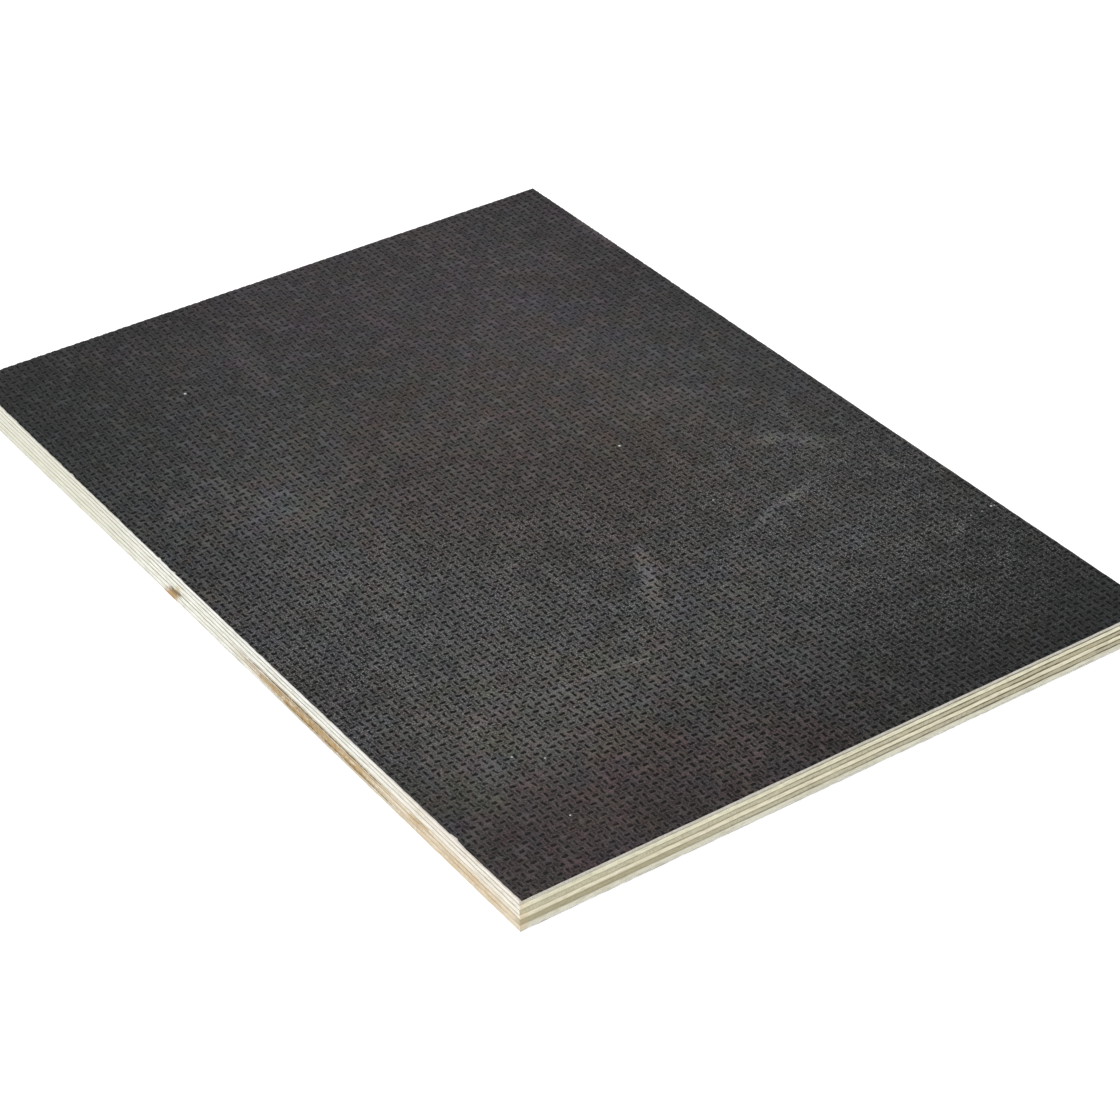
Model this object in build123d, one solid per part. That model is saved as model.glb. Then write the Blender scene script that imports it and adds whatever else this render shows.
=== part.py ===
from build123d import *
import os

# Film-faced plywood sheet, lying flat with its slip-resistant tread face up.
# Seven rotary-cut veneers are glued crosswise, so the grain of each runs square to that of its neighbours,
# and a phenolic film is pressed onto each face. Every veneer and film is a solid of its own, and all of them
# are trimmed together to one sawn outline. X runs across the sheet, Y along its length and its face grain,
# and Z up. The origin is the centre of the underside. All lengths are in millimetres.

# Sawn outline of the sheet
sheet_length = 300.0
sheet_width = 210.0

# Thickness of each kind of layer
tread_film_thickness = 0.25
face_veneer_thickness = 1.15
cross_veneer_thickness = 1.5
long_veneer_thickness = 1.75
back_veneer_thickness = 0.45
backing_film_thickness = 0.15

# Veneers in the lay-up: an odd number, so that both face veneers have their grain along the length
veneer_count = 7


def veneer(number):
    """Name and thickness of one veneer, counted from the tread face down."""
    if number == 1:
        return f"veneer_{number}_face", face_veneer_thickness
    if number == veneer_count:
        return f"veneer_{number}_back", back_veneer_thickness
    if number % 2 == 0:
        return f"veneer_{number}_cross", cross_veneer_thickness
    return f"veneer_{number}_long", long_veneer_thickness


def lay_up():
    """Names and thicknesses of all layers, from the underside up, as they are stacked in the press."""
    veneers = [veneer(number) for number in range(veneer_count, 0, -1)]
    return [("backing_film", backing_film_thickness), *veneers, ("tread_film", tread_film_thickness)]


def layer(thickness, underside):
    """One layer of the sheet, sawn square at all four edges, with its lower face at the height given."""
    outline = Plane.XY.offset(underside) * Rectangle(sheet_width, sheet_length)
    return extrude(outline, amount=thickness)


def build():
    """Stacks the layers face to face and gives each as a named solid."""
    solids = {}
    underside = 0.0
    for name, thickness in lay_up():
        solids[name] = layer(thickness, underside)
        underside += thickness
    return solids


os.makedirs("parts", exist_ok=True)
for name, solid in build().items():
    solid.label = name
    export_step(solid, f"parts/{name}.step")
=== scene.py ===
import math

import bmesh
import bpy
import numpy as np
from mathutils import Matrix, Vector


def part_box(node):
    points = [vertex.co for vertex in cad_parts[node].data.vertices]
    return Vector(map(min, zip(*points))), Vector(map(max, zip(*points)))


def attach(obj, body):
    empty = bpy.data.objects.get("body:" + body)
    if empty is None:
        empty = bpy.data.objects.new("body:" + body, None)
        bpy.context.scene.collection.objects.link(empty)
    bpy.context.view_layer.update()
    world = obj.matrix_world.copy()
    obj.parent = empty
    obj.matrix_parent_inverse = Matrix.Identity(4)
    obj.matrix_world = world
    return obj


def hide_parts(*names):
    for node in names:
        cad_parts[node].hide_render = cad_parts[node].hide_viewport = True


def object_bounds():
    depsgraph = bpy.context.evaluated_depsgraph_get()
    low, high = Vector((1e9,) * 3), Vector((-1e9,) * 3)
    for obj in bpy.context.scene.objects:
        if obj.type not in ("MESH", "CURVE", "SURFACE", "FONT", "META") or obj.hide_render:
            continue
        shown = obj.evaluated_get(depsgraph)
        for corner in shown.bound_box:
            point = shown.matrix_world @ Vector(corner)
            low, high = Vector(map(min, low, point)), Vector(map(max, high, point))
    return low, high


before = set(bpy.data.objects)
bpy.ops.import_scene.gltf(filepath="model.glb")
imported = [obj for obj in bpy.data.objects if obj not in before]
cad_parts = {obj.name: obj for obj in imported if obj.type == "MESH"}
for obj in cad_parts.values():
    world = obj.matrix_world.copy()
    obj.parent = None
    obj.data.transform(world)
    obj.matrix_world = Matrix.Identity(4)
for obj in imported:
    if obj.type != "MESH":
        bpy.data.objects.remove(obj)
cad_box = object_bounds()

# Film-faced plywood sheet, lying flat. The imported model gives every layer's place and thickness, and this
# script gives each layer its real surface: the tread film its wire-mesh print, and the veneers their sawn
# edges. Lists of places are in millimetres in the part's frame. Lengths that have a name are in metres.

MM = 0.001

# One seeded source for all that varies by chance, so that every run gives the same sheet
rng = np.random.default_rng(7)

(LEFT, FRONT, BOTTOM), (RIGHT, REAR, TOP) = cad_box

# Veneers from the tread face down
VENEERS = sorted(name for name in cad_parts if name.startswith("veneer_"))

# How far each sawn side wanders off the CAD outline, where its slow waves start, and their lengths
SAW_DEPTHS = {"front": 0.08 * MM, "right": 0.12 * MM, "rear": 0.08 * MM, "left": 0.22 * MM}
SAW_PHASES = {"front": 0.4, "right": 2.1, "rear": 3.7, "left": 5.2}
SAW_LONG_WAVE = 47.0 * MM
SAW_SHORT_WAVE = 19.0 * MM


def rectangle_sides():
    """The four sawn sides as (name, start, end, inward direction), anticlockwise from above."""
    return (
        ("front", (LEFT, FRONT), (RIGHT, FRONT), (0.0, 1.0)),
        ("right", (RIGHT, FRONT), (RIGHT, REAR), (-1.0, 0.0)),
        ("rear", (RIGHT, REAR), (LEFT, REAR), (0.0, -1.0)),
        ("left", (LEFT, REAR), (LEFT, FRONT), (1.0, 0.0)),
    )


def saw_wander(side, along):
    """How far the saw cut lies inside the CAD outline, which all layers share."""
    phase = SAW_PHASES[side]
    slow = np.sin(along / SAW_LONG_WAVE + phase) + 0.5 * np.sin(along / SAW_SHORT_WAVE + 2.3 * phase)
    return SAW_DEPTHS[side] * (slow + 1.5) / 3.0


def dress_object(name, mesh, material):
    """Puts a finished mesh into the scene with its material, and lets it ride on the sheet."""
    mesh.validate()
    mesh.materials.append(material)
    piece = bpy.data.objects.new(name, mesh)
    bpy.context.scene.collection.objects.link(piece)
    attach(piece, "root")
    return piece


# Node graphs


class Graph:
    """Builds a material from short calls: an input is a number, a colour or another node's output."""

    def __init__(self, name):
        self.material = bpy.data.materials.new(name)
        self.material.use_nodes = True
        self.tree = self.material.node_tree
        self.shader = self.tree.nodes["Principled BSDF"]

    def node(self, kind, settings=None, **inputs):
        node = self.tree.nodes.new("ShaderNode" + kind)
        for key, value in (settings or {}).items():
            setattr(node, key, value)
        for key, value in inputs.items():
            self.feed(node, key.replace("_", " "), value)
        return node

    def feed(self, node, key, value):
        socket = node.inputs[key]
        if isinstance(value, bpy.types.NodeSocket):
            self.tree.links.new(value, socket)
        else:
            socket.default_value = value

    def place(self):
        """Where a point of the surface lies in the part's frame."""
        return self.node("TexCoord").outputs["Object"]

    def parts(self, vector):
        """The X, Y and Z of a vector."""
        return self.node("SeparateXYZ", Vector=vector).outputs

    def facing(self, axis):
        """1 on faces that look along an axis, either way, and 0 on the others."""
        normal = self.parts(self.node("NewGeometry").outputs["True Normal"])
        return self.ramp(self.math("ABSOLUTE", normal[axis]), 0.45, 0.55)

    def math(self, operation, first, second=0.0):
        node = self.node("Math", {"operation": operation})
        self.feed(node, 0, first)
        self.feed(node, 1, second)
        return node.outputs[0]

    def add(self, first, second):
        return self.math("ADD", first, second)

    def minus(self, first, second):
        return self.math("SUBTRACT", first, second)

    def times(self, first, second):
        return self.math("MULTIPLY", first, second)

    def ramp(self, value, low, high):
        """0 at low, 1 at high, smooth between."""
        node = self.node("MapRange", {"interpolation_type": "SMOOTHSTEP"}, Value=value)
        self.feed(node, "From Min", low)
        self.feed(node, "From Max", high)
        return node.outputs[0]

    def noise(self, vector, scale, detail, roughness, stretch=None):
        """Noise from 0 to 1, drawn out along an axis where its stretch is below 1."""
        if stretch:
            vector = self.node("Mapping", {"vector_type": "POINT"}, Vector=vector, Scale=stretch).outputs[0]
        node = self.node("TexNoise", Vector=vector, Scale=scale, Detail=detail, Roughness=roughness)
        return node.outputs["Fac"]

    def blob(self, vector, centre, size, turn=0.0):
        """1 at the centre of an ellipsoid of that length, width and height, and 0 at its rim."""
        node = self.node("Mapping", {"vector_type": "TEXTURE"}, Vector=vector)
        node.inputs["Location"].default_value = centre
        node.inputs["Rotation"].default_value = (0.0, 0.0, turn)
        node.inputs["Scale"].default_value = [extent / 2 for extent in size]
        return self.node("TexGradient", {"gradient_type": "SPHERICAL"}, Vector=node.outputs[0]).outputs["Fac"]

    def blend(self, share, first, second):
        """A number between two numbers."""
        node = self.node("Mix", {"data_type": "FLOAT"})
        for index, value in ((0, share), (2, first), (3, second)):
            self.feed(node, index, value)
        return node.outputs[0]

    def mix(self, share, first, second, blend="MIX"):
        """A colour between two colours."""
        node = self.node("Mix", {"data_type": "RGBA", "blend_type": blend})
        for index, value in ((0, share), (6, first), (7, second)):
            self.feed(node, index, value)
        return node.outputs[2]

    def stain(self, share, colour, hue):
        """A colour that takes on a hue, given as factors on its red, green and blue."""
        return self.mix(share, colour, hue, "MULTIPLY")

    def bump(self, height, strength, distance):
        node = self.node("Bump", Height=height, Strength=strength, Distance=distance)
        return node.outputs[0]


def linear(red, green, blue):
    """An sRGB colour, given as 0 to 255, as the linear colour that shaders take."""
    def curve(value):
        value /= 255.0
        return value / 12.92 if value <= 0.04045 else ((value + 0.055) / 1.055) ** 2.4
    return (curve(red), curve(green), curve(blue), 1.0)


def darker(colour, share):
    """A colour with a share of its light."""
    return [share * channel for channel in colour[:3]] + [1.0]


# Looks of the tread film

# Darkest and lightest lands of the print, painted shade in its dents, the grey of painted glints and of
# scratches, white specks
DARKEST_LAND = linear(28, 28, 28)
LIGHTEST_LAND = linear(104, 104, 104)
DENT_SHADE = linear(4, 4, 4)
GLINT_AND_SCRATCH = linear(163, 163, 161)
SPECK = linear(205, 205, 200)

LAND_ROUGHNESS = 0.45
DENT_ROUGHNESS = 0.78
FILM_SPECULAR = 0.18
FILM_BUMP = 0.8
FILM_BUMP_HEIGHT = 0.05 * MM

# Noise patterns in the film: scale, detail, roughness
HAZE = (34.0, 3.0, 0.55)
HUE_CLOUDS = (55.0, 3.0, 0.6)
GLINT_DOTS = (2300.0, 1.0, 0.5)
GLINT_CLOUDS = (110.0, 1.0, 0.5)
COARSE_GRAIN = (1000.0, 2.0, 0.6)
FINE_GRAIN = (2300.0, 2.0, 0.6)

# Dust that lies everywhere, and the most that the haze adds to it
DUST_LEVEL = 0.435
HAZE_SPREAD = 0.34

# Depth above which the film is a crest of the print, its painted highlight on crests and painted shade below
# them, and dustiness in the grain of a clear print
CREST_DEPTH = 0.045 * MM
CREST_LIGHT = 0.45
GRAIN_DUST = 1.3
# Amounts of dustiness, painted reflection and painted highlight at which the lands are darkest and lightest,
# and the largest share of the lightest colour
DUST_AND_LIGHT_RANGE = (-0.55, 1.75)
LIGHTEST_SHARE = 0.9

# Share of the glint colour in a painted glint, and painted glints outside the places that are thick with them
GLINT_STRENGTH = 0.85
SPARSE_GLINTS = 0.10

# Where the tread film is painted darker, as a painted reflection of dark surroundings, most of all at corners
# and edges: centre x and y, reach along x and y, strength
DARK_REFLECTION_PLACES = (
    (120.0, -165.0, 150.0, 130.0, 0.75),
    (40.0, -170.0, 220.0, 75.0, 0.55),
    (-125.0, 170.0, 120.0, 150.0, 0.72),
    (10.0, 190.0, 280.0, 140.0, 0.57),
    (-120.0, 40.0, 60.0, 190.0, 0.42),
    (130.0, 0.0, 75.0, 320.0, 0.70),
    (38.0, -36.0, 75.0, 50.0, 0.26),
    (-30.0, 84.0, 70.0, 45.0, 0.22),
    (0.0, 10.0, 90.0, 60.0, 0.06),
    (-115.0, -70.0, 40.0, 90.0, 0.12),
    (10.0, -52.0, 125.0, 65.0, 0.12),
    (52.0, -112.0, 40.0, 45.0, 0.12),
    (-104.0, -110.0, 18.0, 28.0, 0.16),
    (82.0, -118.0, 60.0, 50.0, 0.24),
)

# Where painted glints lie thickly, as light caught by specks on the film: centre x and y, reach along x and
# y, strength
GLINT_PLACES = (
    (-60.0, -45.0, 90.0, 80.0, 1.0),
    (55.0, -60.0, 95.0, 85.0, 0.85),
    (82.0, -118.0, 60.0, 50.0, 0.30),
)

# Dusty scuffs and hazy patches on the tread film: centre x and y, length, width, turn in degrees, strength
SCUFFS = (
    (1.5, -57.0, 46.0, 7.0, 64.0, 1.20),
    (45.0, -53.5, 20.0, 5.0, 27.0, 0.90),
    (59.0, -49.0, 28.0, 5.5, 12.0, 1.00),
    (72.0, -20.5, 18.0, 9.0, -20.0, 0.90),
    (82.0, -29.0, 26.0, 12.0, -48.0, 0.75),
    (87.0, -90.0, 22.0, 4.0, 25.0, 0.70),
    (-36.0, -86.0, 124.0, 2.2, -1.5, 0.55),
    (-88.0, 47.0, 24.0, 5.0, 15.0, 0.45),
    (8.0, 36.0, 18.0, 5.0, 35.0, 0.60),
    (-31.0, 107.0, 46.0, 14.0, 80.0, 0.22),
    (-65.0, 31.0, 44.0, 38.0, 0.0, 0.28),
    (60.0, 16.0, 40.0, 18.0, -20.0, 0.22),
    (-62.0, -92.0, 120.0, 84.0, 5.0, 0.30),
    (104.0, 112.0, 9.0, 34.0, 0.0, 0.6),
    (80.0, 112.0, 60.0, 50.0, 0.0, 0.14),
    (-38.0, 120.0, 40.0, 36.0, 0.0, 0.14),
    (-22.0, -135.0, 40.0, 24.0, 0.0, 0.20),
    (-74.0, -137.0, 36.0, 24.0, 0.0, 0.16),
)

# White specks of dust on the tread film: centre x and y, diameter
SPECKS = (
    (34.4, 1.9, 1.2),
    (39.4, -37.4, 0.8),
    (-75.9, -130.2, 0.7),
    (-74.6, -102.2, 0.8),
    (-67.9, -107.5, 0.7),
    (-55.5, 103.5, 1.2),
    (94.3, -86.8, 0.6),
    (98.2, -87.1, 0.8),
    (102.0, -86.7, 1.0),
    (103.1, -86.8, 0.8),
)

# Hairline scratches in the tread film: centre x and y, length, width, turn in degrees, strength
HAIRLINES = (
    (-25.5, -87.6, 17.0, 0.6, -8.8, 0.65),
)

# Heights of the ellipsoids that draw these marks: all are far higher than the print is deep
PATCH_HEIGHT = 1.0
SCUFF_HEIGHT = 8 * MM
MARK_HEIGHT = 2 * MM

# Hues of the film, as linear factors on its grey
BROWN = (1.00, 0.86, 0.81, 1.0)
PURPLE = (1.00, 0.84, 0.93, 1.0)
MAROON = (1.00, 0.77, 0.76, 1.0)
BEIGE = (1.00, 0.94, 0.86, 1.0)
GREEN = (0.86, 1.00, 0.95, 1.0)

# Where the hues lie: centre x and y, reach along x and y, strength
HUE_PLACES = (
    (BROWN, ((5.0, 15.0, 80.0, 90.0, 1.3),)),
    (PURPLE, ((75.0, 110.0, 95.0, 85.0, 1.2), (10.0, 150.0, 140.0, 75.0, 1.0))),
    (MAROON, ((-55.0, -150.0, 95.0, 50.0, 1.4),)),
    (BEIGE, ((-60.0, -92.0, 85.0, 45.0, 1.0), (50.0, -10.0, 60.0, 70.0, 0.6))),
    (GREEN, ((-120.0, 120.0, 60.0, 90.0, 1.3), (110.0, -130.0, 90.0, 70.0, 1.0))),
)

# Faint hues in patches about a centimetre across, which hardly change the brightness: scale, factors
MOTTLED_HUES = (
    (125.0, (0.90, 1.03, 0.98, 1.0)),
    (100.0, (1.12, 0.96, 0.97, 1.0)),
    (85.0, (0.99, 0.98, 1.14, 1.0)),
    (75.0, (1.02, 1.00, 0.88, 1.0)),
)

# The print wears along a line to the rear right corner: the line's direction, where on it the wear of either
# end starts and is greatest, and what is left of the print's contrast there
WEAR_DIRECTION = (0.56, 0.83)
REAR_WEAR = (-60 * MM, 105 * MM)
REAR_CONTRAST = 0.75
FRONT_WEAR = (-105 * MM, -165 * MM)
FRONT_CONTRAST = 0.84

# Where on that line the rims of the dents grow soft, and the depths at which a dent's painted shade starts
# and is darkest, first for a crisp rim and then for a soft one. Grain makes all rims ragged
REAR_SOFTENING = (-40 * MM, 100 * MM)
FRONT_SOFTENING = (-105 * MM, -190 * MM)
DENT_STARTS = (0.0, -0.03 * MM)
DENT_DARKEST = (0.14 * MM, 0.19 * MM)
RAGGED_RIM = 0.05 * MM


def soft_patches(graph, place, patches):
    """Soft round patches on the tread face, added up."""
    share = 0.0
    for x, y, reach_x, reach_y, strength in patches:
        blob = graph.blob(place, (x * MM, y * MM, TOP), (2 * reach_x * MM, 2 * reach_y * MM, PATCH_HEIGHT))
        share = graph.add(share, graph.times(blob, strength))
    return share


def dust_and_reflection(graph, place, grain):
    """How dusty the film is, with its painted reflection: hazy in the middle, painted darker at some edges,
    streaked where it was scuffed.
    """
    haze = graph.add(graph.times(graph.noise(place, *HAZE), HAZE_SPREAD), DUST_LEVEL)
    # Broad patches painted darker, most of all at corners and edges: painted reflection of dark surroundings
    share = graph.minus(haze, soft_patches(graph, place, DARK_REFLECTION_PLACES))
    grainy = graph.add(graph.times(grain, 0.5), 0.75)
    for x, y, length, width, turn, strength in SCUFFS:
        size = (length * MM, width * MM, SCUFF_HEIGHT)
        blob = graph.blob(place, (x * MM, y * MM, TOP), size, math.radians(turn))
        streak = graph.times(graph.ramp(blob, 0.0, 0.8), grainy)
        share = graph.add(share, graph.times(streak, strength))
    return share


def film_hue(graph, place, colour):
    """Lays the film's hues over its grey: broad ones where they were seen, and a faint mottle everywhere."""
    uneven = graph.add(graph.noise(place, *HUE_CLOUDS), 0.5)
    for hue, patches in HUE_PLACES:
        share = graph.times(graph.ramp(soft_patches(graph, place, patches), 0.0, 0.8), uneven)
        colour = graph.stain(share, colour, hue)
    for scale, hue in MOTTLED_HUES:
        patch = graph.ramp(graph.noise(place, scale, 2.0, 0.6), 0.46, 0.66)
        colour = graph.stain(patch, colour, hue)
    return colour


def glint_share(graph, place):
    """Where bright painted glints lie, as light caught by dusty specks: close together in some patches, and
    hardly any elsewhere.
    """
    glints = graph.ramp(graph.noise(place, *GLINT_DOTS), 0.55, 0.68)
    thickly = graph.add(graph.ramp(soft_patches(graph, place, GLINT_PLACES), 0.0, 0.7), SPARSE_GLINTS)
    patchy = graph.ramp(graph.noise(place, *GLINT_CLOUDS), 0.0, 1.0)
    return graph.times(glints, graph.times(thickly, patchy))


def film_grain(graph, place):
    """The fine grain of the film, from 0 to 1."""
    coarse = graph.times(graph.noise(place, *COARSE_GRAIN), 0.35)
    fine = graph.times(graph.noise(place, *FINE_GRAIN), 0.65)
    return graph.ramp(graph.add(coarse, fine), 0.34, 0.66)


def place_backward(graph, place):
    """How far a point lies towards the rear right corner, along which the print wears."""
    parts = graph.parts(place)
    rightward = graph.times(parts["X"], WEAR_DIRECTION[0])
    return graph.add(rightward, graph.times(parts["Y"], WEAR_DIRECTION[1]))


def print_strength(graph, backward):
    """How clearly the dents stand out: best across the middle of the front half, worn towards both ends."""
    rear = graph.blend(graph.ramp(backward, *REAR_WEAR), 1.0, REAR_CONTRAST)
    return graph.times(rear, graph.blend(graph.ramp(backward, *FRONT_WEAR), 1.0, FRONT_CONTRAST))


def dent_share(graph, backward, depth):
    """0 on the lands and 1 in the dents, with softer rims where the print is worn."""
    rear = graph.ramp(backward, *REAR_SOFTENING)
    worn = graph.math("MAXIMUM", rear, graph.ramp(backward, *FRONT_SOFTENING))
    return graph.ramp(depth, graph.blend(worn, *DENT_STARTS), graph.blend(worn, *DENT_DARKEST))


def land_colour(graph, place, grain, depth, clear):
    """The film between its dents: dusty grey, painted reflection, crest highlight and shade, hues, painted
    glints.
    """
    # Crests painted lighter and the low cell corners darker: painted highlight and painted shade by height
    crest = graph.times(graph.minus(graph.ramp(depth, CREST_DEPTH, 0.0), 0.5), CREST_LIGHT)
    grain_dust = graph.times(graph.math("POWER", clear, 4.0), GRAIN_DUST)
    speckle = graph.times(graph.minus(grain, 0.5), grain_dust)
    # Dustiness, plus the painted reflection and the painted highlight and shade of the crests
    dust_and_light = graph.add(dust_and_reflection(graph, place, grain), graph.add(speckle, crest))
    share = graph.times(graph.ramp(dust_and_light, *DUST_AND_LIGHT_RANGE), LIGHTEST_SHARE)
    lands = film_hue(graph, place, graph.mix(share, DARKEST_LAND, LIGHTEST_LAND))
    # Painted glints over the lands: bright specks painted as if they caught the light
    return graph.mix(graph.times(glint_share(graph, place), GLINT_STRENGTH), lands, GLINT_AND_SCRATCH)


def film_marks(graph, place, grain, colour):
    """Lays the white specks and the hairline scratches over the film's colour."""
    for x, y, diameter in SPECKS:
        blob = graph.blob(place, (x * MM, y * MM, TOP), (diameter * MM, diameter * MM, MARK_HEIGHT))
        colour = graph.mix(graph.ramp(blob, 0.05, 0.6), colour, SPECK)
    for x, y, length, width, turn, strength in HAIRLINES:
        size = (length * MM, width * MM, MARK_HEIGHT)
        blob = graph.blob(place, (x * MM, y * MM, TOP), size, math.radians(turn))
        scratch = graph.times(graph.ramp(blob, 0.0, 0.5), grain)
        colour = graph.mix(graph.times(scratch, strength), colour, GLINT_AND_SCRATCH)
    return colour


def tread_film_material():
    """Dark phenolic film: matt and dusty on the lands, with painted light on them, painted shade that turns
    its dents black, and a few marks.
    """
    graph = Graph("tread_film")
    place = graph.place()
    grain = film_grain(graph, place)
    depth = graph.minus(TOP, graph.parts(place)["Z"])
    ragged = graph.add(depth, graph.times(graph.minus(0.5, grain), RAGGED_RIM))
    backward = place_backward(graph, place)
    clear = print_strength(graph, backward)
    dent = graph.times(dent_share(graph, backward, ragged), clear)
    # The dents are painted near black, darkest where deepest: painted shade in their hollows
    colour = graph.mix(dent, land_colour(graph, place, grain, depth, clear), DENT_SHADE)
    graph.feed(graph.shader, "Base Color", film_marks(graph, place, grain, colour))
    graph.feed(graph.shader, "Roughness", graph.blend(dent, LAND_ROUGHNESS, DENT_ROUGHNESS))
    graph.shader.inputs["Specular IOR Level"].default_value = FILM_SPECULAR
    strength = graph.times(graph.math("POWER", clear, 3.0), FILM_BUMP)
    graph.feed(graph.shader, "Normal", graph.bump(grain, strength, FILM_BUMP_HEIGHT))
    return graph.material


# Shape of the tread film

# Wire-mesh print: one dent at each crossing of the woven wires, with some cells to spare round the sheet
PRINT_PITCH = 2.5 * MM
PRINT_TURN = math.radians(0.25)
PRINT_SHIFT = (0.8 * MM, 1.7 * MM)
SPARE_CELLS = 4

# Dents along X and along Y: length, width, depth, and where the shoulders and the keel end, as shares of the
# half length
DENT_LENGTH = (2.10 * MM, 2.40 * MM)
DENT_WIDTH = (1.45 * MM, 1.18 * MM)
DENT_DEPTH = (0.20 * MM, 0.17 * MM)
DENT_SHOULDER = (0.68, 0.80)
DENT_KEEL = (0.60, 0.76)
LONGEST_HALF_DENT = 0.48 * PRINT_PITCH
DENT_POINTS = 8

# How unevenly the wires were woven and pressed in
DENT_SIZE_SPREAD = 0.06
DENT_DEPTH_SPREAD = 0.06
DENT_DEPTH_LIMITS = (0.6, 1.25)
DENT_TURN_SPREAD = 0.09
DENT_PLACE_SPREAD = 0.07 * MM
RIM_DROP_SPREAD = 0.012 * MM
CORNER_PLACE_SPREAD = 0.08 * MM
CORNER_DROP = 0.05 * MM
CORNER_DROP_SPREAD = 0.025 * MM

# Fine nicks in the film's arris, and splinters in the left one: mean depth and two wavelengths
ARRIS_NICKS = (0.05 * MM, 1.9 * MM, 3.1 * MM)
LEFT_SPLINTERS = (0.10 * MM, 0.9 * MM, 2.3 * MM)
# Film lost all along the left arris, and how much more is lost at its ends
LEFT_LOSS = 0.10 * MM
LEFT_END_LOSS = 0.45 * MM
# Film broken off along the left arris: place along the length, length of the chip, depth
FILM_CHIPS = (
    (-120.2, 3.4, 0.55),
    (30.7, 1.3, 0.40),
    (22.1, 1.5, 0.45),
    (11.2, 1.2, 0.40),
    (-62.0, 1.0, 0.25),
    (84.0, 1.4, 0.30),
)
# How far in from the arris the print gives way to its line
ARRIS_REACH = 3.0 * MM

TRIM_SLACK = 0.001 * MM
SMOOTH_BELOW = math.radians(60)


def print_corners(count_x, count_y):
    """Corners of the print's cells, which lie in the openings of the mesh, where the film stands highest."""
    i, j = np.meshgrid(np.arange(count_x + 1), np.arange(count_y + 1), indexing="ij")
    corners = np.stack([i.ravel() * PRINT_PITCH, j.ravel() * PRINT_PITCH], axis=1)
    corners += rng.normal(0.0, CORNER_PLACE_SPREAD, corners.shape)
    drop = np.clip(rng.normal(CORNER_DROP, CORNER_DROP_SPREAD, len(corners)), 0.0, None)
    return np.column_stack([corners, -drop])


def print_dents(i, j, along_x):
    """Points of the dents. Each dent is a boat: six points on its rim, two on its keel."""
    cells = len(i)
    length = np.where(along_x, *DENT_LENGTH) * rng.normal(1.0, DENT_SIZE_SPREAD, cells)
    width = np.where(along_x, *DENT_WIDTH) * rng.normal(1.0, DENT_SIZE_SPREAD, cells)
    turn = np.where(along_x, 0.0, math.pi / 2) + rng.normal(0.0, DENT_TURN_SPREAD, cells)
    pressed = np.clip(rng.normal(1.0, DENT_DEPTH_SPREAD, cells), *DENT_DEPTH_LIMITS)
    depth = np.where(along_x, *DENT_DEPTH) * pressed
    tip = np.minimum(length / 2, LONGEST_HALF_DENT)
    shoulder = tip * np.where(along_x, *DENT_SHOULDER)
    keel = tip * np.where(along_x, *DENT_KEEL)
    half = width / 2
    zero = np.zeros(cells)
    u = np.stack([-tip, -shoulder, shoulder, tip, shoulder, -shoulder, -keel, keel], axis=1)
    v = np.stack([zero, half, half, zero, -half, -half, zero, zero], axis=1)
    rim = np.abs(rng.normal(0.0, RIM_DROP_SPREAD, (cells, 6)))
    drop = np.concatenate([rim, depth[:, None], depth[:, None]], axis=1)
    centre_x = (i + 0.5) * PRINT_PITCH + rng.normal(0.0, DENT_PLACE_SPREAD, cells)
    centre_y = (j + 0.5) * PRINT_PITCH + rng.normal(0.0, DENT_PLACE_SPREAD, cells)
    x = centre_x[:, None] + u * np.cos(turn)[:, None] - v * np.sin(turn)[:, None]
    y = centre_y[:, None] + u * np.sin(turn)[:, None] + v * np.cos(turn)[:, None]
    return np.stack([x, y, -drop], axis=2).reshape(-1, 3)


def print_triangles(i, j, along_x, count_y, first_dent):
    """Triangles of every cell: those on the lands round its dent, and those in the dent."""
    def corner(di, dj):
        return (i + di) * (count_y + 1) + (j + dj)

    tip_a, side_a, side_b, tip_b, side_c, side_d, keel_a, keel_b = (
        first_dent + DENT_POINTS * np.arange(len(i)) + k for k in range(DENT_POINTS)
    )
    # Cell corners in the dent's own direction, so that both directions share one set of triangles
    ahead_left = np.where(along_x, corner(1, 1), corner(0, 1))
    ahead_right = np.where(along_x, corner(1, 0), corner(1, 1))
    behind_left = np.where(along_x, corner(0, 1), corner(0, 0))
    behind_right = np.where(along_x, corner(0, 0), corner(1, 0))
    lands = (
        (side_a, side_b, ahead_left), (side_a, ahead_left, behind_left), (side_b, tip_b, ahead_left),
        (tip_b, ahead_right, ahead_left), (tip_b, side_c, ahead_right), (side_c, side_d, behind_right),
        (side_c, behind_right, ahead_right), (side_d, tip_a, behind_right),
        (tip_a, behind_left, behind_right), (tip_a, side_a, behind_left),
    )
    dents = (
        (tip_a, keel_a, side_a), (side_a, keel_a, keel_b), (side_a, keel_b, side_b), (side_b, keel_b, tip_b),
        (tip_b, keel_b, side_c), (side_c, keel_b, keel_a), (side_c, keel_a, side_d), (side_d, keel_a, tip_a),
    )
    return np.concatenate([np.stack(triangle, axis=1) for triangle in lands + dents])


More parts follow.
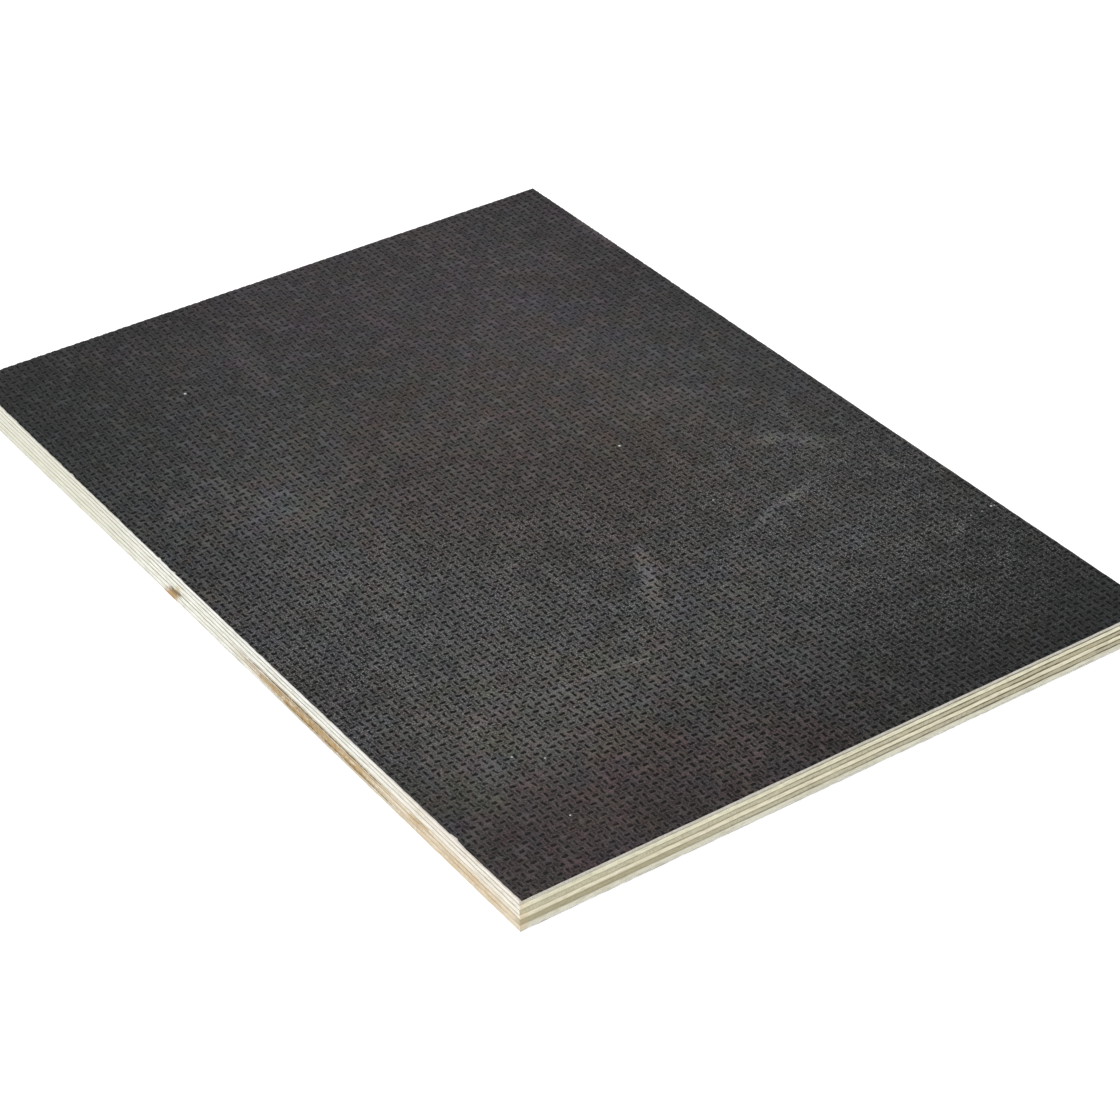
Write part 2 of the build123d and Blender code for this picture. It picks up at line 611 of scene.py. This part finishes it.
def print_lattice():
    """Vertices and triangles of the printed surface, a little larger than the sheet, with one dent a cell."""
    count_x = int((RIGHT - LEFT) / PRINT_PITCH) + SPARE_CELLS
    count_y = int((REAR - FRONT) / PRINT_PITCH) + SPARE_CELLS
    i, j = np.meshgrid(np.arange(count_x), np.arange(count_y), indexing="ij")
    i, j = i.ravel(), j.ravel()
    along_x = (i + j) % 2 == 0
    corners = print_corners(count_x, count_y)
    points = np.concatenate([corners, print_dents(i, j, along_x)])
    triangles = print_triangles(i, j, along_x, count_y, len(corners))

    # The print lies slightly askew on the sheet, as the sheet was sawn out of a larger one
    middle = np.array([count_x, count_y]) * PRINT_PITCH / 2
    local = points[:, :2] - middle + np.array(PRINT_SHIFT)
    points[:, 0] = local[:, 0] * math.cos(PRINT_TURN) - local[:, 1] * math.sin(PRINT_TURN)
    points[:, 1] = local[:, 0] * math.sin(PRINT_TURN) + local[:, 1] * math.cos(PRINT_TURN)
    points[:, 2] += TOP
    return points, triangles


def notches(along, places, sharpness):
    """Depth of each notch in a side, and its share at each point, from rows of place, length and depth."""
    for place, length, depth in places:
        share = np.clip(1.0 - np.abs(along - place * MM) / (length * MM / 2), 0.0, 1.0)
        yield depth * MM, share ** sharpness


def jagged(along, depth, first_wave, second_wave):
    """A fine uneven line with that mean depth."""
    return depth * (1.0 + np.sin(along / first_wave) * np.sin(along / second_wave))


def film_edge(side, along):
    """How far the film's arris lies inside the CAD outline: the saw's line, nicks, and on the left chips."""
    inside = saw_wander(side, along)
    inside = inside + jagged(along, *ARRIS_NICKS)
    if side == "left":
        # The film has splintered off this arris, most of all towards its two ends
        inside = inside + LEFT_LOSS + LEFT_END_LOSS * np.abs(along / REAR) ** 1.5
        inside = inside + jagged(along, *LEFT_SPLINTERS)
        for depth, share in notches(along, FILM_CHIPS, 0.5):
            inside = inside + depth * share
    return inside


def move_edges(points):
    """Moves the points near each side inward to the film's edge line."""
    moved = points.copy()
    x, y = points[:, 0], points[:, 1]
    moved[:, 0] += film_edge("left", y) * np.clip(1 - (x - LEFT) / ARRIS_REACH, 0, 1)
    moved[:, 0] -= film_edge("right", y) * np.clip(1 - (RIGHT - x) / ARRIS_REACH, 0, 1)
    moved[:, 1] += film_edge("front", x) * np.clip(1 - (y - FRONT) / ARRIS_REACH, 0, 1)
    moved[:, 1] -= film_edge("rear", x) * np.clip(1 - (REAR - y) / ARRIS_REACH, 0, 1)
    return moved


def trim_to_sheet(bm):
    """Saws the printed surface along the four sides of the CAD outline."""
    for _, start, _, inward in rectangle_sides():
        geometry = bm.verts[:] + bm.edges[:] + bm.faces[:]
        bmesh.ops.bisect_plane(
            bm, geom=geometry, dist=TRIM_SLACK, clear_outer=True,
            plane_co=(*start, TOP), plane_no=(-inward[0], -inward[1], 0.0),
        )


def close_underneath(bm, underside):
    """Turns the printed surface into a closed film with a flat underside."""
    rim = [edge for edge in bm.edges if edge.is_boundary]
    skirt = bmesh.ops.extrude_edge_only(bm, edges=rim)["geom"]
    for element in skirt:
        if isinstance(element, bmesh.types.BMVert):
            element.co.z = underside
    hem = [element for element in skirt if isinstance(element, bmesh.types.BMEdge) and element.is_boundary]
    bmesh.ops.holes_fill(bm, edges=hem, sides=0)
    bmesh.ops.recalc_face_normals(bm, faces=bm.faces[:])


def add_tread_film():
    """The printed film, sawn out of a larger printed surface and closed underneath."""
    points, triangles = print_lattice()
    mesh = bpy.data.meshes.new("tread_film_print")
    mesh.from_pydata(points.tolist(), [], triangles.tolist())
    bm = bmesh.new()
    bm.from_mesh(mesh)
    trim_to_sheet(bm)
    close_underneath(bm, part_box("tread_film")[0][2])
    for face in bm.faces:
        face.smooth = True
    for edge in bm.edges:
        edge.smooth = edge.calc_face_angle(0.0) < SMOOTH_BELOW
    bm.to_mesh(mesh)
    bm.free()

    places = np.empty(3 * len(mesh.vertices))
    mesh.vertices.foreach_get("co", places)
    places = move_edges(places.reshape(-1, 3))
    mesh.vertices.foreach_set("co", places.ravel())
    piece = dress_object("tread_film_print", mesh, tread_film_material())
    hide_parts("tread_film")


# Looks of the veneers and the backing film

# Colours of each veneer's sawn edge: where the cut runs along the fibres, and where it shows their ends
VENEER_COLOURS = {
    "veneer_1_face": (linear(242, 241, 237), linear(206, 202, 192)),
    "veneer_2_cross": (linear(232, 228, 203), linear(239, 239, 234)),
    "veneer_3_long": (linear(241, 240, 233), linear(200, 195, 168)),
    "veneer_4_cross": (linear(234, 227, 202), linear(240, 239, 231)),
    "veneer_5_long": (linear(240, 239, 231), linear(196, 190, 165)),
    "veneer_6_cross": (linear(226, 224, 207), linear(240, 239, 232)),
    "veneer_7_back": (linear(243, 242, 237), linear(232, 231, 223)),
}
# Broad and fine darker patches in the wood, and how much of their colour shows
PATCH_WOOD = linear(192, 187, 158)
PATCH_STRENGTH = 0.22
MOTTLED_WOOD = linear(164, 158, 128)
MOTTLE_STRENGTH = 0.36
# Light that is left in the streaks of the fibres, and in the pores of long-grained and cross-grained veneers
STREAK_SHADE = 0.84
LONG_PORE_SHADE = 0.60
CROSS_PORE_SHADE = 0.78

WOOD_ROUGHNESS = 0.8
WOOD_SPECULAR = 0.25
WOOD_BUMP = 0.4
WOOD_BUMP_HEIGHT = 0.08 * MM

# Noise patterns in the wood: scale, detail, roughness, stretch along x, y and z
LONG_STREAKS = (2600.0, 3.0, 0.6, (1.0, 0.03, 1.0))
CROSS_STREAKS = (2600.0, 3.0, 0.6, (0.03, 1.0, 1.0))
PORES = (2600.0, 4.0, 0.75, (1.0, 1.0, 0.5))
MOTTLE = (1300.0, 4.0, 0.75, (0.30, 0.15, 1.0))
SAW_MARKS = (1300.0, 2.0, 0.5, (1.0, 1.0, 0.04))
TORN_FIBRES = (1500.0, 3.0, 0.65, (1.0, 0.7, 1.0))
LAYERED_FIBRES = (1900.0, 3.0, 0.6, (1.0, 0.06, 1.0))
RUSSET_CLOUDS = (420.0, 3.0, 0.6)
FRAYED_KNOT = (520.0, 3.0, 0.7)
GLUE_WANDER = (110.0, 2.0, 0.6, (1.0, 1.0, 3.0))
GLUE_PATCHES = (130.0, 4.0, 0.7, (1.0, 1.0, 5.0))

# Stains in the lower veneers of the left edge: y and z of the centre, length, height, strength
TAN = linear(209, 190, 156)
TAN_STAINS = (
    (-98.0, 2.3, 190.0, 7.2, 0.8),
)
OCHRE = linear(186, 154, 100)
RUSSET = linear(166, 116, 64)
MOST_BROWN = 0.9
BROWN_STAINS = (
    (-50.0, 3.0, 96.0, 6.6, 0.50),
    (-55.0, 2.3, 76.0, 3.4, 0.70),
    (-44.0, 2.9, 70.0, 2.4, 0.45),
    (-104.0, 3.1, 14.0, 3.0, 0.5),
    (-127.0, 2.4, 40.0, 3.6, 0.3),
)
# Dark lines where the stain ends at a glue line
DARK = linear(108, 86, 48)
DARK_STRENGTH = 0.8
DARK_STAINS = (
    (-53.0, 4.65, 104.0, 1.0, 1.7),
    (-40.0, 3.1, 60.0, 0.8, 0.7),
    (-63.0, 1.4, 92.0, 0.9, 1.3),
)
# Cream tint of the wood towards the near corner, as linear factors, and olive tint towards the rear
CREAM = (1.00, 0.95, 0.91, 1.0)
CREAM_STAINS = (
    (-160.0, 6.0, 190.0, 40.0, 1.0),
)
OLIVE = linear(208, 207, 188)
OLIVE_STAINS = (
    (120.0, 5.0, 190.0, 60.0, 0.55),
)
# Darker front edge: a browner patch at the left, painted shade towards the right: x and z of the centre,
# length, height, strength
FRONT_DARK_AND_SHADE = linear(156, 145, 112)
FRONT_STAINS_AND_SHADE = (
    (-85.0, 3.0, 100.0, 3.2, 0.55),
    (95.0, 6.2, 150.0, 2.6, 0.3),
    (95.0, 3.0, 150.0, 2.6, 0.2),
)
# How far a stain reaches into the wood, both ways
STAIN_REACH = 8 * MM

# Knot cut through by the left edge: its place along the length at the underside, its lean, half width and
# height, and how far its sides and its top are frayed
KNOT_PLACE = 25.8 * MM
KNOT_LEAN = -1.1
KNOT_HALF_WIDTH = 4.1 * MM
KNOT_HEIGHT = 4.3 * MM
KNOT_FRAYED_SIDES = 6 * MM
KNOT_FRAYED_TOP = 3 * MM
KNOT_SOFT_TOP = 0.6 * MM
# Colours of the knot's foot and heart, and of the thin thread of stain that runs on above it
KNOT_FOOT = linear(182, 146, 98)
KNOT_HEART = linear(116, 86, 48)
KNOT_STRENGTH = 0.92
KNOT_THREAD = linear(186, 168, 100)
KNOT_THREAD_STRENGTH = 0.6

# Glue at the front and rear edges, and greyer at the sides. It soaks further into end grain than along fibres
GLUE = linear(72, 64, 44)
GREY_GLUE = linear(124, 121, 103)
GLUE_WAVE = 0.45 * MM
GLUE_IN_END_GRAIN = 0.36 * MM
GLUE_ALONG_FIBRES = 0.12 * MM
GLUE_AT_SIDES = 0.26 * MM
GLUE_MOST_SHARE = 0.6
GLUE_SOFT_SHARE = 0.45
# The glue's strength at the front grows from left to right, and at the sides it is greatest in the middle
GLUE_RIGHTWARD = (LEFT - 40 * MM, RIGHT - 10 * MM)
GLUE_FRONT_STRENGTH = (0.12, 1.0)
GLUE_TO_MIDDLE = (110 * MM, 30 * MM)
GLUE_SIDE_STRENGTH = (0.65, 0.90)
GLUE_PATCHY_STRENGTH = (0.7, 1.0)

# Backing film: its face, clouded between two browns, and its sawn edge, painted near white as painted light
# over the shade under the sheet, and darker at the front left, partly its own dark edge and partly painted
# contact shadow
BACKING_DARK = linear(88, 75, 66)
BACKING_LIGHT = linear(106, 92, 82)
LIT_BACKING_EDGE = linear(230, 229, 222)
SHADED_BACKING_EDGE = linear(110, 114, 106)
BACKING_CLOUDS = (40.0, 3.0, 0.6)
BACKING_GRAIN = (900.0, 3.0, 0.6, (1.0, 0.04, 1.0))
BACKING_BUMP = 0.25
BACKING_BUMP_HEIGHT = 0.03 * MM


def runs_lengthwise(name):
    """Whether a veneer's grain runs along the sheet."""
    return not name.endswith("cross")


def stain_share(graph, place, stains):
    """How strongly the left edge is stained, as soft patches that add up."""
    share = 0.0
    for y, z, length, height, strength in stains:
        blob = graph.blob(place, (LEFT, y * MM, z * MM), (STAIN_REACH, length * MM, height * MM))
        share = graph.add(share, graph.times(graph.ramp(blob, 0.0, 0.5), strength))
    return share


def left_edge_stains(graph, place, wood):
    """Lays the stains of the left edge over the wood's own colour, broken up by its fibres."""
    torn = graph.times(graph.noise(place, *TORN_FIBRES), 0.5)
    broken = graph.add(torn, graph.times(graph.noise(place, *LAYERED_FIBRES), 0.5))
    tan = graph.times(stain_share(graph, place, TAN_STAINS), graph.ramp(broken, 0.30, 0.60))
    wood = graph.mix(tan, wood, TAN)
    wood = graph.mix(stain_share(graph, place, OLIVE_STAINS), wood, OLIVE)
    wood = graph.stain(stain_share(graph, place, CREAM_STAINS), wood, CREAM)
    brown = graph.times(stain_share(graph, place, BROWN_STAINS), graph.ramp(broken, 0.30, 0.62))
    brown_wood = graph.mix(graph.ramp(graph.noise(place, *RUSSET_CLOUDS), 0.48, 0.66), OCHRE, RUSSET)
    wood = graph.mix(graph.math("MINIMUM", brown, MOST_BROWN), wood, brown_wood)
    dark = graph.times(stain_share(graph, place, DARK_STAINS), graph.ramp(broken, 0.30, 0.60))
    return graph.mix(graph.times(dark, DARK_STRENGTH), wood, DARK)


def left_edge_knot(graph, place, wood):
    """Lays the knot over the wood of the left edge: a frayed leaning foot, and a thread of stain above it."""
    parts = graph.parts(place)
    lean = graph.add(KNOT_PLACE, graph.times(parts["Z"], KNOT_LEAN))
    beside = graph.math("ABSOLUTE", graph.minus(parts["Y"], lean))
    frayed = graph.minus(graph.noise(place, *FRAYED_KNOT), 0.5)
    beside = graph.add(beside, graph.times(frayed, KNOT_FRAYED_SIDES))
    height = graph.add(parts["Z"], graph.times(frayed, KNOT_FRAYED_TOP))
    on_left = graph.ramp(parts["X"], LEFT + 3 * MM, LEFT + 2 * MM)

    thread = graph.times(graph.ramp(beside, 0.5 * KNOT_HALF_WIDTH, 0.0), on_left)
    thread = graph.times(thread, graph.ramp(height, 2.2 * KNOT_HEIGHT, KNOT_HEIGHT))
    wood = graph.mix(graph.times(thread, KNOT_THREAD_STRENGTH), wood, KNOT_THREAD)

    knot = graph.times(graph.ramp(beside, KNOT_HALF_WIDTH, 0.4 * KNOT_HALF_WIDTH), on_left)
    knot = graph.times(knot, graph.ramp(height, KNOT_HEIGHT + KNOT_SOFT_TOP, KNOT_HEIGHT - KNOT_SOFT_TOP))
    upward = graph.ramp(parts["Z"], 0.3 * KNOT_HEIGHT, 0.8 * KNOT_HEIGHT)
    return graph.mix(graph.times(knot, KNOT_STRENGTH), wood, graph.mix(upward, KNOT_FOOT, KNOT_HEART))


def front_edge_stains_and_shade(graph, place, wood):
    """Lays the darker places of the front edge over the wood: a browner patch, and painted shade to the
    right.
    """
    for x, z, length, height, strength in FRONT_STAINS_AND_SHADE:
        blob = graph.blob(place, (x * MM, FRONT, z * MM), (length * MM, STAIN_REACH, height * MM))
        wood = graph.mix(graph.times(graph.ramp(blob, 0.0, 0.6), strength), wood, FRONT_DARK_AND_SHADE)
    return wood


def glue_lines(graph, place, front, name, low, high):
    """Strength of the glue at a veneer's faces, which soaks into end grain and darkens to the right."""
    parts = graph.parts(place)
    half = (high - low) / 2
    wander = graph.minus(graph.noise(place, *GLUE_WANDER), 0.5)
    height = graph.add(parts["Z"], graph.times(wander, GLUE_WAVE))
    from_middle = graph.minus((low + high) / 2, height)
    if name != VENEERS[0]:
        # The face veneer has glue at its lower face only, as the film above it leaves no dark line
        from_middle = graph.math("ABSOLUTE", from_middle)
    patchy = graph.ramp(graph.noise(place, *GLUE_PATCHES), 0.34, 0.66)
    reach = GLUE_IN_END_GRAIN if runs_lengthwise(name) else GLUE_ALONG_FIBRES
    soaked = graph.times(graph.add(patchy, 0.8), reach)
    thick = graph.math("MINIMUM", graph.blend(front, GLUE_AT_SIDES, soaked), GLUE_MOST_SHARE * half)
    full = graph.minus(half, graph.times(thick, GLUE_SOFT_SHARE))
    line = graph.ramp(from_middle, graph.minus(half, thick), full)
    rightward = graph.blend(graph.ramp(parts["X"], *GLUE_RIGHTWARD), *GLUE_FRONT_STRENGTH)
    middle = graph.ramp(graph.math("ABSOLUTE", parts["Y"]), *GLUE_TO_MIDDLE)
    strength = graph.blend(front, graph.blend(middle, *GLUE_SIDE_STRENGTH), rightward)
    return graph.times(line, graph.times(strength, graph.blend(patchy, *GLUE_PATCHY_STRENGTH)))


def veneer_material(name, low, high):
    """Sawn wood: streaks where the cut runs along the fibres, pores where it crosses them, and glue lines."""
    graph = Graph(name)
    place = graph.place()
    along_fibres, across_fibres = VENEER_COLOURS[name]
    lengthwise = runs_lengthwise(name)
    front = graph.facing("Y")
    end_grain = front if lengthwise else graph.facing("X")

    streak = graph.noise(place, *(LONG_STREAKS if lengthwise else CROSS_STREAKS))
    fibres = graph.mix(graph.ramp(streak, 0.38, 0.75), along_fibres, darker(along_fibres, STREAK_SHADE))
    pores = graph.noise(place, *PORES)
    pore = darker(across_fibres, LONG_PORE_SHADE if lengthwise else CROSS_PORE_SHADE)
    wood = graph.mix(end_grain, fibres, graph.mix(graph.ramp(pores, 0.44, 0.72), across_fibres, pore))

    # The scale of the broad patches differs from veneer to veneer, so that they don't line up
    patch = graph.noise(place, 90.0 + 9.0 * VENEERS.index(name), 3.0, 0.6)
    wood = graph.mix(graph.times(graph.ramp(patch, 0.45, 0.75), PATCH_STRENGTH), wood, PATCH_WOOD)
    mottle = graph.ramp(graph.noise(place, *MOTTLE), 0.44, 0.66)
    wood = graph.mix(graph.times(mottle, MOTTLE_STRENGTH), wood, MOTTLED_WOOD)
    wood = left_edge_knot(graph, place, left_edge_stains(graph, place, wood))
    wood = front_edge_stains_and_shade(graph, place, wood)
    if name != VENEERS[-1]:
        glue = graph.mix(front, GREY_GLUE, GLUE)
        wood = graph.mix(glue_lines(graph, place, front, name, low, high), wood, glue)
    graph.feed(graph.shader, "Base Color", wood)
    graph.shader.inputs["Roughness"].default_value = WOOD_ROUGHNESS
    graph.shader.inputs["Specular IOR Level"].default_value = WOOD_SPECULAR
    relief = graph.add(streak, graph.noise(place, *SAW_MARKS))
    relief = graph.add(graph.times(pores, end_grain), relief)
    graph.feed(graph.shader, "Normal", graph.bump(relief, WOOD_BUMP, WOOD_BUMP_HEIGHT))
    return graph.material


def backing_film_material():
    """Smooth dark brown film: satin, faintly clouded, with the back veneer's grain showing through."""
    graph = Graph("backing_film")
    place = graph.place()
    cloud = graph.noise(place, *BACKING_CLOUDS)
    grain = graph.noise(place, *BACKING_GRAIN)
    clouded = graph.add(graph.times(cloud, 0.6), graph.times(grain, 0.4))
    face = graph.mix(graph.ramp(clouded, 0.35, 0.65), BACKING_DARK, BACKING_LIGHT)
    # The sawn edge is painted light, and greyer towards the front left: partly the film's own edge, partly
    # painted contact shadow
    left_shadow = graph.times(graph.ramp(graph.parts(place)["X"], 0.3 * RIGHT, LEFT), graph.facing("Y"))
    edge = graph.mix(left_shadow, LIT_BACKING_EDGE, SHADED_BACKING_EDGE)
    graph.feed(graph.shader, "Base Color", graph.mix(graph.facing("Z"), edge, face))
    graph.feed(graph.shader, "Roughness", graph.add(graph.times(cloud, 0.2), 0.3))
    graph.feed(graph.shader, "Normal", graph.bump(grain, BACKING_BUMP, BACKING_BUMP_HEIGHT))
    return graph.material


# Shape of the veneers and the backing film

# Points of a layer's sawn edge: heights as shares of its thickness, and the step along the side
EDGE_LEVEL_SHARES = (0.0, 0.06, 0.28, 0.42, 0.5, 0.58, 0.72, 0.94, 1.0)
EDGE_STEP = 0.8 * MM

# How far a layer as a whole may stand back, in millimetres, and how much its arrises are rounded
LAYER_STEP = (0.02, 0.08)
LAYER_ARRIS = 0.05 * MM
# Roughness of the cut across the fibres and along them, and over how many points it is blurred
END_GRAIN_ROUGH = 0.025 * MM
END_GRAIN_BLUR = 1
SIDE_GRAIN_ROUGH = 0.012 * MM
SIDE_GRAIN_BLUR = 12
# How far the backing film is chipped back: everywhere, besides at random, and the blur of that
BACKING_LOSS = 0.04 * MM
BACKING_CHIPS = 0.06 * MM
BACKING_CHIP_BLUR = 2

# Open splits in the end grain of the left edge, by veneer: place along the length, length, depth
SPLITS = {
    "veneer_4_cross": ((-88.7, 5.0, 1.2), (-104.6, 9.0, 1.4)),
}
# Half the height of a split, as a share of the veneer's thickness
SPLIT_HALF_HEIGHT = 0.1


def perimeter():
    """Points round the CAD outline as rows of x, y and side number."""
    rows = []
    for number, (_, start, end, _) in enumerate(rectangle_sides()):
        start, end = np.array(start), np.array(end)
        count = round(np.linalg.norm(end - start) / EDGE_STEP)
        for share in np.arange(count) / count:
            rows.append((*(start + share * (end - start)), number))
    return np.array(rows)


def smooth_noise(count, levels, reach):
    """Seeded noise for one side, a row for each point along it, blurred over a reach of points."""
    raw = rng.normal(0.0, 1.0, (count + 2 * reach, levels))
    window = np.hanning(2 * reach + 3)[1:-1]
    window /= np.sqrt((window ** 2).sum())
    return np.stack([np.convolve(raw[:, k], window, "valid")[:count] for k in range(levels)], axis=1)


def sawn_edge(name, side, along, end_grain):
    """How far a layer's edge lies inside the CAD outline, a row of levels for each point along the side."""
    levels = np.array(EDGE_LEVEL_SHARES)
    rough, blur = (END_GRAIN_ROUGH, END_GRAIN_BLUR) if end_grain else (SIDE_GRAIN_ROUGH, SIDE_GRAIN_BLUR)
    inside = saw_wander(side, along)[:, None] + rng.uniform(*LAYER_STEP) * MM
    inside = inside + rough * np.abs(smooth_noise(len(along), len(levels), blur))
    if name == "backing_film":
        # The saw leaves the underside with a chipped film
        return inside + BACKING_LOSS + BACKING_CHIPS * np.abs(smooth_noise(len(along), 1, BACKING_CHIP_BLUR))
    inside = inside + LAYER_ARRIS * np.isin(levels, (0.0, 1.0))[None, :]
    if side == "left":
        middle = np.abs(levels - 0.5) < SPLIT_HALF_HEIGHT
        for depth, share in notches(along, SPLITS.get(name, ()), 0.4):
            inside = inside + depth * share[:, None] * middle[None, :]
    return inside


def layer_mesh(name, low, high, lengthwise):
    """A closed layer whose flat faces lie where the CAD layer's do and whose edges are sawn."""
    outline = perimeter()
    levels = np.array(EDGE_LEVEL_SHARES)
    columns, rows = len(outline), len(levels)
    offset = np.zeros((columns, rows, 2))
    for number, (side, _, _, inward) in enumerate(rectangle_sides()):
        here = outline[:, 2] == number
        # The last corner of a side is the first point of the next side, and both sides move it
        last = np.roll(here, 1) & ~here
        on_side = here | last
        along = outline[on_side, 0] if inward[0] == 0.0 else outline[on_side, 1]
        end_grain = (inward[0] == 0.0) == lengthwise
        inside = sawn_edge(name, side, along, end_grain)
        offset[on_side] += inside[:, :, None] * np.array(inward)[None, None, :]
    points = np.zeros((columns, rows, 3))
    points[:, :, :2] = outline[:, None, :2] + offset
    points[:, :, 2] = low + (high - low) * levels[None, :]

    def index(column, row):
        return (column % columns) * rows + row

    faces = [
        (index(c, r), index(c + 1, r), index(c + 1, r + 1), index(c, r + 1))
        for c in range(columns) for r in range(rows - 1)
    ]
    faces.append([index(c, rows - 1) for c in range(columns)])
    faces.append([index(c, 0) for c in reversed(range(columns))])
    return points.reshape(-1, 3).tolist(), faces


def add_layer(name, lengthwise, material):
    """One layer with its sawn edges, in place of the CAD layer."""
    (_, _, low), (_, _, high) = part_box(name)
    vertices, faces = layer_mesh(name, low, high, lengthwise)
    mesh = bpy.data.meshes.new(name + "_sawn")
    mesh.from_pydata(vertices, [], faces)
    piece = dress_object(name + "_sawn", mesh, material)
    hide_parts(name)


def add_veneers():
    """The veneers, with their grain along the sheet and across it by turns."""
    for name in VENEERS:
        (_, _, low), (_, _, high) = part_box(name)
        lengthwise = runs_lengthwise(name)
        add_layer(name, lengthwise, veneer_material(name, low, high))


# Scene

WHITE = (1.0, 1.0, 1.0, 1.0)

# Floor: its grey, the glow that whitens it for the camera alone, half its width, and its gap below the sheet
FLOOR_GREY = (0.86, 0.86, 0.86, 1.0)
FLOOR_GLOW = 0.50
FLOOR_HALF_WIDTH = 4.0
FLOOR_GAP = 0.05 * MM

# Ceiling of the studio: the elevations at which it starts and is darkest, and the light that is left there
CEILING_START = math.radians(36)
CEILING_DARKEST = math.radians(62)
CEILING_LIGHT = 0.08

# Soft square lamps that face the middle of the sheet: name, place, power
LAMPS = (
    ("key", (-1.5, 0.3, 1.2), 18.0),
    ("fill", (0.9, -1.6, 0.9), 11.0),
)
LAMP_SIZE = 1.2

# The photograph's view: a long lens that looks down over the near corner
CAMERA_AZIMUTH = math.radians(-34.334)
CAMERA_ELEVATION = math.radians(34.769)
CAMERA_ROLL = math.radians(-0.909)
CAMERA_DISTANCE = 882.5 * MM
CAMERA_TARGET = (-13.76 * MM, -36.48 * MM, TOP)
CAMERA_SENSOR = 36.0
CAMERA_LENS = 101.07
CAMERA_NEAREST = 0.01


def add_floor():
    """A plain white floor that keeps the sheet's shadow."""
    graph = Graph("floor")
    graph.shader.inputs["Base Color"].default_value = FLOOR_GREY
    graph.shader.inputs["Roughness"].default_value = 0.9
    graph.shader.inputs["Specular IOR Level"].default_value = 0.0
    light = graph.node("LightPath")
    seen = graph.add(light.outputs["Is Camera Ray"], light.outputs["Is Glossy Ray"])
    seen = graph.math("MINIMUM", graph.add(seen, light.outputs["Is Transmission Ray"]), 1.0)
    graph.shader.inputs["Emission Color"].default_value = WHITE
    graph.feed(graph.shader, "Emission Strength", graph.times(seen, FLOOR_GLOW))
    signs = ((-1, -1), (1, -1), (1, 1), (-1, 1))
    corners = [(x * FLOOR_HALF_WIDTH, y * FLOOR_HALF_WIDTH, BOTTOM - FLOOR_GAP) for x, y in signs]
    mesh = bpy.data.meshes.new("floor")
    mesh.from_pydata(corners, [], [(0, 1, 2, 3)])
    mesh.materials.append(graph.material)
    floor = bpy.data.objects.new("floor", mesh)
    bpy.context.scene.collection.objects.link(floor)


def add_world():
    """A white studio: bright walls all round, and a darker ceiling that gives the relief its shades."""
    world = bpy.data.worlds.new("studio")
    bpy.context.scene.world = world
    world.use_nodes = True
    tree = world.node_tree
    background = tree.nodes["Background"]
    coordinates = tree.nodes.new("ShaderNodeTexCoord")
    parts = tree.nodes.new("ShaderNodeSeparateXYZ")
    ceiling = tree.nodes.new("ShaderNodeMapRange")
    ceiling.interpolation_type = "SMOOTHSTEP"
    ceiling.inputs["From Min"].default_value = math.sin(CEILING_START)
    ceiling.inputs["From Max"].default_value = math.sin(CEILING_DARKEST)
    ceiling.inputs["To Min"].default_value = 1.0
    ceiling.inputs["To Max"].default_value = CEILING_LIGHT
    seen = tree.nodes.new("ShaderNodeLightPath")
    brighter = tree.nodes.new("ShaderNodeMath")
    brighter.operation = "MAXIMUM"
    tree.links.new(coordinates.outputs["Generated"], parts.inputs[0])
    tree.links.new(parts.outputs["Z"], ceiling.inputs["Value"])
    tree.links.new(ceiling.outputs[0], brighter.inputs[0])
    tree.links.new(seen.outputs["Is Camera Ray"], brighter.inputs[1])
    tree.links.new(brighter.outputs[0], background.inputs["Strength"])
    background.inputs["Color"].default_value = WHITE


def add_lamp(name, place, power):
    """A square soft light at a place, turned to the middle of the sheet."""
    data = bpy.data.lights.new(name, "AREA")
    data.size = LAMP_SIZE
    data.energy = power
    lamp = bpy.data.objects.new(name, data)
    lamp.location = place
    lamp.rotation_euler = (-Vector(place)).to_track_quat("-Z", "Y").to_euler()
    bpy.context.scene.collection.objects.link(lamp)


def add_camera():
    """The photograph's camera, set back from its target and turned to it."""
    level = math.cos(CAMERA_ELEVATION)
    rightward, forward = level * math.sin(CAMERA_AZIMUTH), level * math.cos(CAMERA_AZIMUTH)
    back = Vector((rightward, -forward, math.sin(CAMERA_ELEVATION)))
    data = bpy.data.cameras.new("camera")
    data.sensor_width = CAMERA_SENSOR
    data.lens = CAMERA_LENS
    data.clip_start = CAMERA_NEAREST
    camera = bpy.data.objects.new("camera", data)
    turn = (-back).to_track_quat("-Z", "Y").to_matrix() @ Matrix.Rotation(CAMERA_ROLL, 3, "Z")
    place = Vector(CAMERA_TARGET) + CAMERA_DISTANCE * back
    camera.matrix_world = Matrix.Translation(place) @ turn.to_4x4()
    bpy.context.scene.collection.objects.link(camera)
    bpy.context.scene.camera = camera


bpy.context.scene.view_settings.view_transform = "Standard"
add_tread_film()
add_veneers()
add_layer("backing_film", True, backing_film_material())
add_floor()
add_world()
for lamp in LAMPS:
    add_lamp(*lamp)
add_camera()
